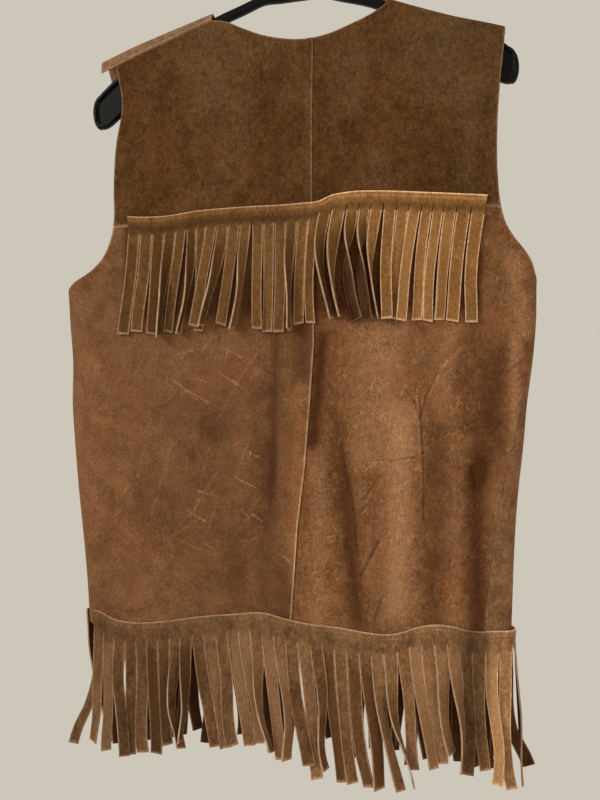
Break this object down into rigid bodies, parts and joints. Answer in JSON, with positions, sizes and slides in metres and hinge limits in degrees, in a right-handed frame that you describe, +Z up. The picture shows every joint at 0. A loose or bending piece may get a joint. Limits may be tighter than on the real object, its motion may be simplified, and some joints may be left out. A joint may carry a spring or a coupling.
{
  "type": "fringed suede western vest on a plastic hanger",
  "caption": "Sleeveless suede western vest with a back yoke, fringe at the yoke and along the hem, open fronts, hung on a moulded plastic hanger with a round hook.",
  "frame": {"origin": "under the top of the hook, where a rail carries the hanger", "axes": "+Z up; the back of the vest faces +Y and its fronts face -Y; the wearer's left is +X"},
  "size_m": [0.4766, 0.078, 0.8767],
  "materials": {
    "yoke_suede": "napped suede, matte",
    "waxed_suede": "worn suede, slightly waxy",
    "velvet_suede": "velvety suede, matte",
    "fringe_suede": "cut suede with pale edges, matte",
    "moulded_black": "satin moulded plastic"
  },
  "bodies": {
    "root": {"back_yoke_left": "yoke_suede", "back_yoke_right": "yoke_suede", "lower_back_left": "waxed_suede", "lower_back_right": "velvet_suede", "front_left": "waxed_suede", "front_right": "velvet_suede", "yoke_fringe": "fringe_suede", "hem_fringe_back": "fringe_suede", "hem_fringe_front_left": "fringe_suede", "hem_fringe_front_right": "fringe_suede", "hanger": "moulded_black", "hanger_hook": "moulded_black"}
  },
  "joints": []
}
